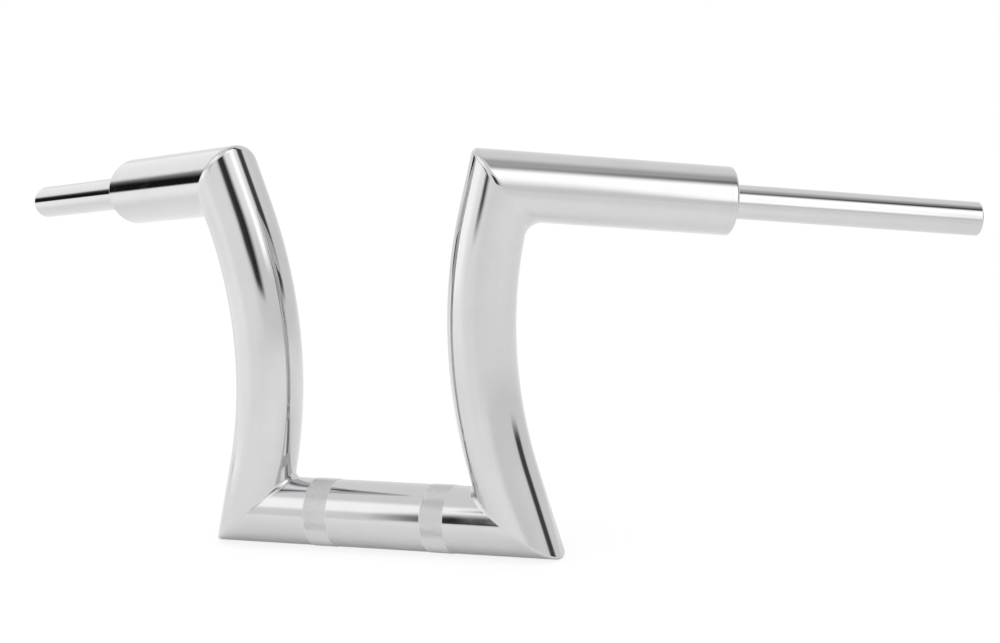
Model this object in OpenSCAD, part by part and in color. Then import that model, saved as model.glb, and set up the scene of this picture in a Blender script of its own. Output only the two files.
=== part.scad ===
// Fat-tube ape hanger handlebar, 1 in grips on a 2 in body.
// Origin: on the crossbar's axis, midway between the clamp bands.
// +X runs along the crossbar, +Y towards the rider, +Z up the uprights.

/* [Body tube] */
// Outside diameter of the crossbar, uprights and arms
tube_d = 50.8; // [44:0.1:54]
// Wall of the body tube
tube_wall = 3; // [2:0.5:4]

/* [Grip tube] */
// Outside diameter of the grip tubes
grip_d = 25.4; // [22:0.1:28]
// Wall of the grip tube
grip_wall = 3; // [2:0.5:4]
// Length of grip tube that stands out of the end plug
grip_len = 196; // [150:1:230]
// Length of grip tube held inside the body
grip_hold = 24; // [18:1:40]
// How far the held end is turned down, which leaves a shoulder on the plug
grip_step = 0.25; // [0.2:0.05:0.5]
// Chamfer round the open end of the grip tube
grip_chamfer = 1.2; // [0.5:0.1:2]

/* [Crossbar] */
// Distance between the two lower mitre corners, axis to axis
base_width = 219; // [200:1:260]
// Distance between the centres of the two clamp bands
band_spacing = 96; // [80:1:110]
// Width of each clamp band
band_width = 20; // [12:1:30]
// Height that the knurled band stands above the tube
band_height = 0.3; // [0.3:0.05:0.5]

/* [Uprights] */
// Height from the crossbar's axis to the upper mitre corner
rise = 254; // [230:1:320]
// Inward lean of the upright at the crossbar, in degrees
lean_in = 15; // [8:0.5:18]
// Outward lean of the upright at the arm, in degrees
lean_out = 17; // [10:0.5:20]
// How far bending draws in each face of the tube's wall
bend_neck = 0.1; // [0.08:0.01:0.15]

/* [Arms] */
// Sweep of the arms towards the rider, in degrees
sweep = 37; // [20:0.5:45]
// Fall of the arms towards the grips, in degrees
droop = 10; // [0:0.5:15]
// Length from the upper mitre corner to the end plug's face
arm_len = 174; // [140:1:220]

/* [End plug] */
// Thickness of the plug's visible rim
rim_len = 6; // [4:0.5:10]
// Rounding of the rim's edge
rim_round = 2; // [1:0.5:3]
// Length of the plug's spigot inside the arm
spigot_len = 16; // [10:1:24]
// Concave corner between the plug's face and the grip tube
root_round = 2; // [1:0.5:4]

/* [Welds] */
// Radius of the ground weld in the inside of the upper corner
upper_weld = 13; // [8:0.5:16]
// Radius of the weld in the inside of the lower corner
lower_weld = 4; // [2:0.5:6]

/* [Hidden] */

$fn = 96;
tube_r = tube_d / 2;
tube_bore = tube_r - tube_wall;
grip_r = grip_d / 2;
grip_bore = grip_r - grip_wall;
grip_seat = grip_r - grip_step;
cutter = 400;

// Directions at the right-hand corners
crossbar_dir = [1, 0, 0];
low_dir = [-sin(lean_in), 0, cos(lean_in)];
high_dir = [sin(lean_out), 0, cos(lean_out)];
arm_dir = [cos(sweep) * cos(droop), sin(sweep) * cos(droop), -sin(droop)];

// Length over which a straight runs on past the start of the bend
bend_lap = 0.5;

// A tube needs this much straight beyond a mitre corner
function reach(u, v) = tube_r * tan(acos(u * v) / 2);
low_straight = ceil(reach(crossbar_dir, low_dir)) + 1;
high_straight = ceil(reach(high_dir, arm_dir)) + 1;

// The bend between the two straights
bend_r = (rise - low_straight * cos(lean_in) - high_straight * cos(lean_out))
    / (sin(lean_in) + sin(lean_out));
low_corner = [base_width / 2, 0, 0];
bend_start = low_corner + low_straight * low_dir;
bend_centre = bend_start + bend_r * [cos(lean_in), 0, sin(lean_in)];
bend_end = bend_centre - bend_r * [cos(lean_out), 0, -sin(lean_out)];
high_corner = bend_end + high_straight * high_dir;

function unit(v) = v / norm(v);
low_mitre = unit(crossbar_dir + low_dir);
high_mitre = unit(high_dir + arm_dir);

// Points along a unit direction from a place
module aim(place, dir) {
    translate(place)
        rotate([0, acos(dir.z), atan2(dir.y, dir.x)])
            children();
}

// Everything beyond a plane, on the side its normal points to
module beyond(place, normal) {
    aim(place, normal)
        translate([-cutter / 2, -cutter / 2, 0])
            cube([cutter, cutter, cutter]);
}

// A straight round bar from one place along a direction
module bar(place, dir, r, back, ahead) {
    aim(place, dir)
        translate([0, 0, -back])
            cylinder(r = r, h = back + ahead);
}

// A straight length of body tube
module tube(place, dir, back, ahead) {
    difference() {
        bar(place, dir, tube_r, back, ahead);
        bar(place, dir, tube_bore, back + 1, ahead + 1);
    }
}

// The upright's bent length of body tube
module bend() {
    translate(bend_centre)
        rotate([90, 0, 0])
            rotate_extrude(angle = lean_in + lean_out, start = 180 - lean_out)
                translate([bend_r, 0])
                    difference() {
                        circle(r = tube_r - bend_neck);
                        circle(r = tube_bore + bend_neck);
                    }
}

// Copies a right-hand piece to the left
module left() {
    mirror([1, 0, 0])
        children();
}

module crossbar() {
    half = base_width / 2 + 2 * tube_r;
    color("gainsboro")
        difference() {
            union() {
                bar([0, 0, 0], crossbar_dir, tube_r, half, half);
                for (side = [-1, 1])
                    bar([side * band_spacing / 2, 0, 0], crossbar_dir,
                        tube_r + band_height, band_width / 2, band_width / 2);
            }
            bar([0, 0, 0], crossbar_dir, tube_bore, half + 1, half + 1);
            beyond(low_corner, low_mitre);
            left()
                beyond(low_corner, low_mitre);
        }
}

module upright() {
    color("silver") {
        difference() {
            tube(low_corner, low_dir, 2 * tube_r, low_straight + bend_lap);
            beyond(low_corner, -low_mitre);
        }
        bend();
        difference() {
            tube(bend_end, high_dir, bend_lap, high_straight + 2 * tube_r);
            beyond(high_corner, high_mitre);
        }
    }
}

module arm() {
    tube_end = arm_len - rim_len;
    color("gainsboro")
        difference() {
            bar(high_corner, arm_dir, tube_r, 2 * tube_r, tube_end);
            bar(high_corner, arm_dir, tube_bore, 3 * tube_r, tube_end + 1);
            beyond(high_corner, -high_mitre);
        }
}

// Half section of the end plug, along +Y from the arm's open end
function quarter(cx, cy, r, from, to) =
    [for (i = [0 : 6]) let (a = from + (to - from) * i / 6) [cx + r * cos(a), cy + r * sin(a)]];

module plug_section() {
    rounded_edge = quarter(tube_r - rim_round, rim_len - rim_round, rim_round, 0, 90);
    root = quarter(grip_r + root_round, rim_len + root_round, root_round, 270, 180);
    polygon(concat(
        [[grip_seat, -spigot_len], [tube_bore, -spigot_len], [tube_bore, 0], [tube_r, 0]],
        rounded_edge,
        root,
        [[grip_seat, rim_len + root_round]]));
}

module end_plug() {
    color("silver")
        aim(high_corner + (arm_len - rim_len) * arm_dir, arm_dir)
            rotate_extrude()
                plug_section();
}

module grip_tube() {
    outer = grip_len + grip_hold;
    shoulder = grip_hold + root_round;
    color("gainsboro")
        aim(high_corner + (arm_len - grip_hold) * arm_dir, arm_dir)
            difference() {
                union() {
                    cylinder(r = grip_seat, h = outer / 2);
                    translate([0, 0, shoulder])
                        cylinder(r = grip_r, h = outer - shoulder - grip_chamfer);
                    translate([0, 0, outer - grip_chamfer])
                        cylinder(r1 = grip_r, r2 = grip_r - grip_chamfer, h = grip_chamfer);
                }
                translate([0, 0, -1])
                    cylinder(r = grip_bore, h = outer + 2);
            }
}

// Fillet rolled by a ball along the inside of a mitred corner.
// e1 and e2 are the unit directions in which the two tubes leave the corner.
weld_steps = 22;
weld_arc = 5;
weld_clear = tube_r / cos(90 / weld_steps);

function weld_ring(e1, e2, ball, phi) =
    let (
        b = unit(e1 + e2),
        m = unit(cross(e1, e2)),
        half = acos(e1 * e2) / 2,
        centre = (weld_clear + ball) * (cos(phi) / sin(half) * b + sin(phi) * m),
        seam = weld_clear * (cos(phi) / sin(half) * b + sin(phi) * m),
        to1 = unit((centre * e1) * e1 - centre),
        to2 = unit((centre * e2) * e2 - centre),
        open = acos(to1 * to2)
    )
    concat([seam], [
        for (i = [0 : weld_arc])
            let (t = i / weld_arc)
            centre + ball * (sin((1 - t) * open) * to1 + sin(t * open) * to2) / sin(open)
    ]);

module corner_weld(place, e1, e2, ball) {
    sides = weld_arc + 2;
    rings = weld_steps - 1;
    tip = weld_clear * unit(cross(e1, e2));
    points = concat(
        [for (k = [1 : rings]) each weld_ring(e1, e2, ball, -90 + 180 * k / weld_steps)],
        [-tip, tip]);
    function at(k, i) = k * sides + i % sides;
    walls = [
        for (k = [0 : rings - 2], i = [0 : sides - 1])
            each [[at(k, i), at(k + 1, i), at(k + 1, i + 1)],
                  [at(k, i), at(k + 1, i + 1), at(k, i + 1)]]
    ];
    first = [for (i = [0 : sides - 1]) [at(0, i), at(0, i + 1), rings * sides]];
    last = [for (i = [0 : sides - 1]) [at(rings - 1, i + 1), at(rings - 1, i), rings * sides + 1]];
    color("silver")
        translate(place)
            polyhedron(points, concat(walls, first, last), convexity = 4);
}

module lower_weld() {
    corner_weld(low_corner, -crossbar_dir, low_dir, lower_weld);
}

module upper_weld() {
    corner_weld(high_corner, -high_dir, arm_dir, upper_weld);
}

crossbar();
left() upright();  // left_upright
upright();  // right_upright
left() arm();  // left_arm
arm();  // right_arm
left() end_plug();  // left_end_plug
end_plug();  // right_end_plug
left() grip_tube();  // left_grip_tube
grip_tube();  // right_grip_tube
left() lower_weld();  // left_lower_weld
lower_weld();  // right_lower_weld
left() upper_weld();  // left_upper_weld
upper_weld();  // right_upper_weld
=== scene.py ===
"""Looks of a chromed fat-tube ape hanger handlebar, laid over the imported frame."""

import logging
from abc import ABC, abstractmethod
from dataclasses import dataclass, field
from enum import Enum
from math import acos, ceil, cos, pi, radians, sin, tan
from typing import NamedTuple, Optional

import bpy
import numpy as np
from mathutils import Matrix, Vector

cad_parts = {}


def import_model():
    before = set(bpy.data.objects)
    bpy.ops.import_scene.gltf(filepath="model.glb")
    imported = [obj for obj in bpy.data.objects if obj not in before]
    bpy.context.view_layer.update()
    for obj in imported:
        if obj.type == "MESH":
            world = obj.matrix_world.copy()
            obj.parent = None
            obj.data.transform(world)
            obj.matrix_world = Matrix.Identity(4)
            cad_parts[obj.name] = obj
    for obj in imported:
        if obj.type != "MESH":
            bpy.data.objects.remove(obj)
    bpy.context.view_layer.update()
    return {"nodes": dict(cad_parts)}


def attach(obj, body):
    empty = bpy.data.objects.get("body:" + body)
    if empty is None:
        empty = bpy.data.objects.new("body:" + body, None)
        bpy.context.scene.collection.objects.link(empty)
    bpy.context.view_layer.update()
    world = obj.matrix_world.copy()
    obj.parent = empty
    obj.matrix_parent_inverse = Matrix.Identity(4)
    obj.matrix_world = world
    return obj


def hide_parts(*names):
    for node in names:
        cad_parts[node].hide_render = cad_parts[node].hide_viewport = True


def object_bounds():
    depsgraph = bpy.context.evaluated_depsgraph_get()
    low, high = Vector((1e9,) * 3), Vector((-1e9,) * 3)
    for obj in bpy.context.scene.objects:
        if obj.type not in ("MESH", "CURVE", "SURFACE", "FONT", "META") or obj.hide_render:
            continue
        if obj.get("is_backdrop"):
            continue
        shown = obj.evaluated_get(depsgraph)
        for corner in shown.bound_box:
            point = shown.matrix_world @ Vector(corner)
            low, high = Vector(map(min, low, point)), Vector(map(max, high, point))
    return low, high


log = logging.getLogger("handlebar")

MM = 0.001
UP = np.array([0.0, 0.0, 1.0])
ACROSS = np.array([1.0, 0.0, 0.0])
MIRROR = np.array([-1.0, 1.0, 1.0])
WHITE = (1.0, 1.0, 1.0, 1.0)
# Degrees in half a turn.
HALF_TURN = 180.0

# Facets round the outside and the inside of the body tube.
OUTER_FACETS = 192
BORE_FACETS = 64
# Points nearer to each other than this are one point, in metres.
MERGE_DISTANCE = 2e-7
# A face with fewer different corners than this is left out.
FEWEST_CORNERS = 3
# Smallest value that is divided by.
TINY = 1e-9
# Added to the normal of a triangle, so that one without area has a normal too.
NO_AREA = 1e-18


class Side(Enum):
    """Half of the bar that a piece belongs to, with the sign of its x."""

    LEFT = -1
    RIGHT = 1

    @property
    def word(self) -> str:
        """Side's name as the nodes spell it."""
        return self.name.lower()


class Corner(Enum):
    """Corner of one half of the bar, with the word that its weld's node has."""

    LOWER = "lower"
    UPPER = "upper"


class Slot(Enum):
    """Material slots of the record."""

    TUBE = "chrome_tube"
    PLUG = "chrome_plug"
    GRIP = "chrome_grip"
    WELD = "chrome_weld"


def unit(v: np.ndarray) -> np.ndarray:
    """Vector or rows of vectors at length one."""
    v = np.asarray(v, float)
    return v / np.linalg.norm(v, axis=-1, keepdims=True)


def square_pair(d: np.ndarray, steep: float = 0.9) -> tuple[np.ndarray, np.ndarray]:
    """Two unit directions square to d and to each other.

    Args:
        d: unit direction.
        steep: upward share of d from which it is crossed with X and not with Z.

    Returns:
        The pair, right-handed with d.
    """
    helper = UP if abs(d @ UP) < steep else ACROSS
    first = unit(np.cross(helper, d))
    return first, np.cross(d, first)


def link(name: str, data: bpy.types.ID) -> bpy.types.Object:
    """Makes an object and links it to the scene.

    Args:
        name: object's name.
        data: its mesh, lamp or camera.

    Returns:
        The object.
    """
    obj = bpy.data.objects.new(name, data)
    bpy.context.scene.collection.objects.link(obj)
    return obj


@dataclass(frozen=True)
class BarSizes:
    """Sizes of the bar in metres and degrees.

    All but the two eased edges are those of the part's source.

    Attributes:
        tube_r: outer radius of the body tube.
        tube_wall: its wall.
        grip_r: outer radius of the grip tubes.
        grip_wall: their wall.
        grip_len: length of grip tube that stands out of the end plug.
        grip_hold: length of grip tube held inside the body.
        grip_chamfer: chamfer round the grip tube's open end.
        grip_step: how far the held end is turned down.
        base_width: distance between the lower mitre corners, axis to axis.
        band_spacing: distance between the centres of the clamp bands.
        band_width: width of a clamp band.
        band_height: height of the knurl above the tube.
        rise: height from the crossbar's axis to the upper mitre corner.
        lean_in: inward lean of the upright at the crossbar.
        lean_out: outward lean of the upright at the arm.
        sweep: sweep of the arms towards the rider.
        droop: fall of the arms towards the grips.
        arm_len: length from the upper mitre corner to the end plug's face.
        rim_len: thickness of the plug's visible rim.
        rim_round: rounding of the rim's edge.
        spigot_len: length of the plug's spigot inside the arm.
        root_round: concave corner between the plug's face and the grip tube.
        upper_weld: radius of the ground weld in the upper corner.
        lower_weld: radius of the weld in the lower corner.
        low_ease: width of the eased edge outside the lower corner.
        high_ease: width of the eased edge outside the upper corner.
        mitre_spare: whole millimetres of straight tube left beyond a mitre.
    """

    tube_r: float = 25.4 * MM
    tube_wall: float = 3.0 * MM
    grip_r: float = 12.7 * MM
    grip_wall: float = 3.0 * MM
    grip_len: float = 196.0 * MM
    grip_hold: float = 24.0 * MM
    grip_chamfer: float = 1.2 * MM
    grip_step: float = 0.25 * MM
    base_width: float = 219.0 * MM
    band_spacing: float = 96.0 * MM
    band_width: float = 20.0 * MM
    band_height: float = 0.3 * MM
    rise: float = 254.0 * MM
    lean_in: float = 15.0
    lean_out: float = 17.0
    sweep: float = 37.0
    droop: float = 10.0
    arm_len: float = 174.0 * MM
    rim_len: float = 6.0 * MM
    rim_round: float = 2.0 * MM
    spigot_len: float = 16.0 * MM
    root_round: float = 2.0 * MM
    upper_weld: float = 13.0 * MM
    lower_weld: float = 4.0 * MM
    low_ease: float = 2.2 * MM
    high_ease: float = 3.6 * MM
    mitre_spare: int = 1

    @property
    def tube_bore(self) -> float:
        """Inner radius of the body tube."""
        return self.tube_r - self.tube_wall

    @property
    def grip_bore(self) -> float:
        """Inner radius of the grip tube."""
        return self.grip_r - self.grip_wall

    @property
    def grip_seat(self) -> float:
        """Radius of the grip tube's turned-down end."""
        return self.grip_r - self.grip_step

    @property
    def low_dir(self) -> np.ndarray:
        """Direction in which the right upright leaves the crossbar."""
        a = radians(self.lean_in)
        return np.array([-sin(a), 0.0, cos(a)])

    @property
    def high_dir(self) -> np.ndarray:
        """Direction in which the right upright reaches the arm."""
        a = radians(self.lean_out)
        return np.array([sin(a), 0.0, cos(a)])

    @property
    def arm_dir(self) -> np.ndarray:
        """Direction of the right arm, from the mitre to the grip."""
        s, d = radians(self.sweep), radians(self.droop)
        return np.array([cos(s) * cos(d), sin(s) * cos(d), -sin(d)])

    @property
    def low_corner(self) -> np.ndarray:
        """Mitre corner between crossbar and upright."""
        return np.array([self.base_width / 2, 0.0, 0.0])

    def reach(self, u: np.ndarray, v: np.ndarray) -> float:
        """Straight that a mitre between two directions uses up, in whole millimetres."""
        return (ceil(self.tube_r * tan(acos(u @ v) / 2) / MM) + self.mitre_spare) * MM

    @property
    def low_straight(self) -> float:
        """Straight length above the lower mitre corner."""
        return self.reach(ACROSS, self.low_dir)

    @property
    def high_straight(self) -> float:
        """Straight length below the upper mitre corner."""
        return self.reach(self.high_dir, self.arm_dir)

    @property
    def bend_r(self) -> float:
        """Radius of the upright's bend, on its axis.

        Returns:
            The radius that fills the rise between the two straights.
        """
        a, b = radians(self.lean_in), radians(self.lean_out)
        rest = self.rise - self.low_straight * cos(a) - self.high_straight * cos(b)
        return rest / (sin(a) + sin(b))

    @property
    def bend_centre(self) -> np.ndarray:
        """Centre of the upright's bend.

        Returns:
            Its place, beside the lower straight's end.
        """
        a = radians(self.lean_in)
        start = self.low_corner + self.low_straight * self.low_dir
        return start + self.bend_r * np.array([cos(a), 0.0, sin(a)])

    @property
    def high_corner(self) -> np.ndarray:
        """Mitre corner between upright and arm.

        Returns:
            Its place, beyond the bend and the upper straight.
        """
        b = radians(self.lean_out)
        end = self.bend_centre - self.bend_r * np.array([cos(b), 0.0, -sin(b)])
        return end + self.high_straight * self.high_dir


class Rows(NamedTuple):
    """Rows of points on a surface, with what the mesh needs to know of each point.

    Attributes:
        points: rows by columns by three.
        normals: outward normals at the points, in the same form.
        along: distance of each point along the tube, rows by columns.
    """

    points: np.ndarray
    normals: np.ndarray
    along: np.ndarray


@dataclass
class Skin:
    """Collects patches of surface with exact normals and turns them into one mesh.

    Patches are written for the right-hand half. A left-hand piece mirrors them.

    Attributes:
        name: name of the object that is made.
        materials: its materials, of which the first is the usual one.
        side: half of the bar.
        points: each patch's points.
        faces: each patch's faces, as indices into all the points.
        normals: each patch's normals, face by face and corner by corner.
        finishes: each patch's material indices, face by face.
        marks: each patch's places along and round the tube, corner by corner.
        count: number of points so far.
    """

    name: str
    materials: list
    side: Side = Side.RIGHT
    points: list = field(default_factory=list)
    faces: list = field(default_factory=list)
    normals: list = field(default_factory=list)
    finishes: list = field(default_factory=list)
    marks: list = field(default_factory=list)
    count: int = 0

    def sheet(self, rows: Rows, finish: Optional[bpy.types.Material] = None,
              closed: bool = True) -> None:
        """Adds a grid of smooth quads.

        Args:
            rows: the grid's points, normals and distances.
            finish: its material, or None for the usual one.
            closed: whether the last column joins the first.
        """
        count, cols = rows.points.shape[:2]
        index = np.arange(count * cols).reshape(count, cols)
        last = cols if closed else cols - 1
        a = index[:-1, :last]
        b = np.roll(index, -1, 1)[:-1, :last]
        c = np.roll(index, -1, 1)[1:, :last]
        d = index[1:, :last]
        quads = np.stack([a, b, c, d], -1).reshape(-1, 4)
        flat = rows.points.reshape(-1, 3)
        normal = rows.normals.reshape(-1, 3)
        around = np.broadcast_to(np.arange(cols) / cols, (count, cols))
        mark = np.stack([rows.along, around], -1).reshape(-1, 2)
        diagonals = np.cross(flat[quads[:, 2]] - flat[quads[:, 0]],
                             flat[quads[:, 3]] - flat[quads[:, 1]])
        wrong = (diagonals * normal[quads].sum(1)).sum(1) < 0
        quads[wrong] = quads[wrong][:, ::-1]
        self.patch(flat, quads, normal[quads], mark[quads], finish)

    def facets(self, points: np.ndarray, triangles: np.ndarray, finish: bpy.types.Material) -> None:
        """Adds flat-shaded triangles that already face outwards.

        Args:
            points: rows of three.
            triangles: rows of three indices.
            finish: their material.
        """
        p = points[triangles]
        normal = unit(np.cross(p[:, 1] - p[:, 0], p[:, 2] - p[:, 0]) + NO_AREA)
        marks = np.zeros((*triangles.shape, 2))
        self.patch(points, triangles, np.repeat(normal[:, None], 3, 1), marks, finish)

    def patch(self, points: np.ndarray, faces: np.ndarray, normals: np.ndarray,
              marks: np.ndarray, finish: Optional[bpy.types.Material]) -> None:
        """Stores one patch.

        Args:
            points: rows of three.
            faces: rows of indices into these points.
            normals: a normal for each corner of each face.
            marks: place along and round the tube for each corner of each face.
            finish: its material, or None for the usual one.
        """
        self.points.append(points)
        self.faces.append(faces + self.count)
        self.normals.append(normals)
        self.finishes.append(np.full(len(faces), self.materials.index(finish) if finish else 0))
        self.marks.append(marks)
        self.count += len(points)

    def mesh_object(self) -> bpy.types.Object:
        """Joins the patches where their points meet and makes the object.

        Returns:
            The new object, linked to the scene.
        """
        flip = np.array([self.side.value, 1.0, 1.0])
        order = slice(None, None, -1) if self.side is Side.LEFT else slice(None)
        points = np.concatenate(self.points) * flip
        _, first, same = np.unique(np.round(points / MERGE_DISTANCE).astype(np.int64), axis=0,
                                   return_index=True, return_inverse=True)
        same = same.reshape(-1)
        faces, normals, finishes, marks = [], [], [], []
        for block, block_normals, block_finish, block_marks in zip(
                self.faces, self.normals, self.finishes, self.marks):
            for ring, ring_normals, finish, ring_marks in zip(
                    same[block][:, order].tolist(), (block_normals * flip)[:, order],
                    block_finish.tolist(), block_marks[:, order]):
                keep = [i for i in range(len(ring)) if ring[i] != ring[i - 1]]
                if len({ring[i] for i in keep}) < FEWEST_CORNERS:
                    continue
                faces.append([ring[i] for i in keep])
                normals.extend(ring_normals[keep].tolist())
                marks.extend(ring_marks[keep].tolist())
                finishes.append(finish)
        mesh = bpy.data.meshes.new(self.name)
        mesh.from_pydata(points[first].tolist(), [], faces)
        for material in self.materials:
            mesh.materials.append(material)
        mesh.polygons.foreach_set("material_index", finishes)
        mesh.polygons.foreach_set("use_smooth", [True] * len(faces))
        layer = mesh.uv_layers.new(name="along_around")
        layer.data.foreach_set("uv", np.array(marks, float).ravel())
        mesh.normals_split_custom_set(normals)
        mesh.update()
        return link(self.name, mesh)


class Nodes:
    """Short way to write a shader's node tree."""

    def __init__(self, tree: bpy.types.NodeTree) -> None:
        """Starts with an emptied tree of a material or world."""
        self.tree = tree
        tree.nodes.clear()

    def add(self, kind: str, inputs: Optional[dict] = None, **settings: object) -> bpy.types.Node:
        """Adds a node.

        Args:
            kind: Blender's type name without its ShaderNode prefix.
            inputs: value or output socket for each input, by name or index.
            settings: attributes of the node.

        Returns:
            The node.
        """
        node = self.tree.nodes.new("ShaderNode" + kind)
        for key, value in settings.items():
            setattr(node, key, value)
        for key, value in (inputs or {}).items():
            socket = node.inputs[key]
            if isinstance(value, bpy.types.NodeSocket):
                self.tree.links.new(value, socket)
            else:
                socket.default_value = value
        return node

    def math(self, operation: str, a: object, b: object = 0.0) -> bpy.types.NodeSocket:
        """Output of a math node on two values or sockets."""
        return self.add("Math", {0: a, 1: b}, operation=operation).outputs[0]

    def ramp(self, value: bpy.types.NodeSocket, low: float, high: float, out_low: float = 0.0,
             out_high: float = 1.0) -> bpy.types.NodeSocket:
        """Output of a smooth, clamped map range.

        Args:
            value: what is mapped.
            low: input that gives out_low.
            high: input that gives out_high.
            out_low: output at low.
            out_high: output at high.

        Returns:
            The result's socket.
        """
        return self.add("MapRange", {0: value, 1: low, 2: high, 3: out_low, 4: out_high},
                        interpolation_type="SMOOTHSTEP").outputs[0]

    def noise(self, where: bpy.types.NodeSocket, scale: float, detail: float = 2.0,
              rough: float = 0.5) -> bpy.types.NodeSocket:
        """Factor of a noise texture."""
        return self.add("TexNoise", {"Vector": where, "Scale": scale, "Detail": detail,
                                     "Roughness": rough}).outputs[0]

    def mix(self, share: object, below: object, above: object) -> bpy.types.NodeSocket:
        """Output of a mix of two numbers."""
        return self.add("Mix", {0: share, 2: below, 3: above}, data_type="FLOAT").outputs[0]

    def seen_straight(self) -> bpy.types.NodeSocket:
        """One for a ray from the camera or through glass, else zero."""
        path = self.add("LightPath")
        return self.math("MAXIMUM", path.outputs["Is Camera Ray"], path.outputs["Is Transmission Ray"])


def paint_pot(name: str) -> tuple[bpy.types.Material, Nodes]:
    """Makes a material with an empty node tree.

    Args:
        name: material's name.

    Returns:
        The material and its nodes.
    """
    made = bpy.data.materials.new(name)
    made.use_nodes = True
    return made, Nodes(made.node_tree)


@dataclass(frozen=True)
class Plate:
    """Bright chrome plate over polished steel.

    Attributes:
        name: material's name.
        grey: reflectance of the plate, linear.
        blur: roughness of the clean plate.
        haze: roughness that faint wiping marks add.
        wave: height of the slow waves that buffing leaves, in metres.
        wave_scale: waves per metre.
        wave_detail: octaves and roughness of their noise.
        grain: height of the fine buffing lines, in metres.
        grain_scale: buffing lines per metre along the tube and per turn round it.
        smear_scale: wiping marks per metre.
        smear_detail: octaves and roughness of their noise.
        smear_rough: noise values between which a wiping mark roughens.
        smear_dull: noise values between which a wiping mark dulls.
        dulled: share of the reflectance that is left under a wiping mark.
        speck_scale: specks per metre.
        speck_rough: noise values between which a speck roughens.
        speck_haze: roughness that a speck adds.
        cool: blue reflectance as a share of the red.
    """

    name: str
    grey: float = 0.61
    blur: float = 0.055
    haze: float = 0.05
    wave: float = 0.00005
    wave_scale: float = 22.0
    wave_detail: tuple = (1.0, 0.3)
    grain: float = 0.0000005
    grain_scale: tuple = (9000.0, 6.0, 1.0)
    smear_scale: float = 34.0
    smear_detail: tuple = (4.0, 0.6)
    smear_rough: tuple = (0.45, 0.8)
    smear_dull: tuple = (0.3, 0.75)
    dulled: float = 0.965
    speck_scale: float = 900.0
    speck_rough: tuple = (0.62, 0.8)
    speck_haze: float = 0.03
    cool: float = 1.012

    def material(self) -> bpy.types.Material:
        """Builds the plate's shader.

        Returns:
            The material.
        """
        made, n = paint_pot(self.name)
        place = n.add("TexCoord").outputs["Object"]
        lengths = n.add("UVMap", uv_map="along_around").outputs["UV"]
        smear = n.noise(place, self.smear_scale, *self.smear_detail)
        specks = n.noise(place, self.speck_scale)
        rough = n.math("ADD", n.ramp(smear, *self.smear_rough, self.blur, self.blur + self.haze),
                       n.ramp(specks, *self.speck_rough, 0.0, self.speck_haze))
        tone = n.ramp(smear, *self.smear_dull, self.grey, self.grey * self.dulled)
        blue = n.math("MULTIPLY", tone, self.cool)
        colour = n.add("CombineColor", {0: tone, 1: tone, 2: blue}).outputs[0]
        slow = n.noise(place, self.wave_scale, *self.wave_detail)
        stretched = n.add("Mapping", {"Vector": lengths, "Scale": self.grain_scale}).outputs[0]
        lines = n.noise(stretched, 1.0)
        first = n.add("Bump", {"Height": slow, "Distance": self.wave, "Strength": 1.0})
        second = n.add("Bump", {"Height": lines, "Distance": self.grain, "Strength": 1.0,
                                "Normal": first.outputs[0]})
        shader = n.add("BsdfPrincipled", {"Base Color": colour, "Metallic": 1.0, "Roughness": rough,
                                          "Normal": second.outputs[0]})
        n.add("OutputMaterial", {"Surface": shader.outputs[0]})
        return made


@dataclass(frozen=True)
class BareSteel:
    """Drawn steel inside the tubes, where the plating bath hardly reaches.

    Attributes:
        name: material's name.
        grey: reflectance, linear.
        blur: roughness between the draw marks.
        cloud_blur: roughness that the cloudy stains add.
        cloud_scale: stains per metre.
        cloud_detail: octaves and roughness of their noise.
        cloud_shade: darkest and brightest stain, as shares of the reflectance.
        draw_scale: draw marks per metre along the tube and per turn round it.
        draw_detail: octaves of their noise.
        draw_shade: darkest and brightest draw mark, as shares of the reflectance.
        draw_depth: depth of the draw marks, in metres.
        span: noise values between which both patterns run.
        warm: green and blue reflectance as shares of the red.
    """

    name: str = "drawn_steel"
    grey: float = 0.32
    blur: float = 0.38
    cloud_blur: float = 0.2
    cloud_scale: float = 120.0
    cloud_detail: tuple = (5.0, 0.65)
    cloud_shade: tuple = (0.75, 1.15)
    draw_scale: tuple = (30.0, 160.0, 1.0)
    draw_detail: float = 3.0
    draw_shade: tuple = (0.85, 1.1)
    draw_depth: float = 0.00003
    span: tuple = (0.3, 0.7)
    warm: tuple = (0.985, 0.96)

    def material(self) -> bpy.types.Material:
        """Builds the steel's shader.

        Returns:
            The material.
        """
        made, n = paint_pot(self.name)
        place = n.add("TexCoord").outputs["Object"]
        lengths = n.add("UVMap", uv_map="along_around").outputs["UV"]
        stretched = n.add("Mapping", {"Vector": lengths, "Scale": self.draw_scale}).outputs[0]
        draw = n.noise(stretched, 1.0, self.draw_detail)
        cloud = n.noise(place, self.cloud_scale, *self.cloud_detail)
        darkest, brightest = self.cloud_shade
        tone = n.math("MULTIPLY", n.ramp(cloud, *self.span, self.grey * darkest, self.grey * brightest),
                      n.ramp(draw, *self.span, *self.draw_shade))
        green, blue = (n.math("MULTIPLY", tone, share) for share in self.warm)
        colour = n.add("CombineColor", {0: tone, 1: green, 2: blue}).outputs[0]
        bump = n.add("Bump", {"Height": draw, "Distance": self.draw_depth, "Strength": 1.0})
        rough = n.ramp(cloud, *self.span, self.blur, self.blur + self.cloud_blur)
        shader = n.add("BsdfPrincipled", {"Base Color": colour, "Metallic": 1.0, "Roughness": rough,
                                          "Normal": bump.outputs[0]})
        n.add("OutputMaterial", {"Surface": shader.outputs[0]})
        return made


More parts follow.
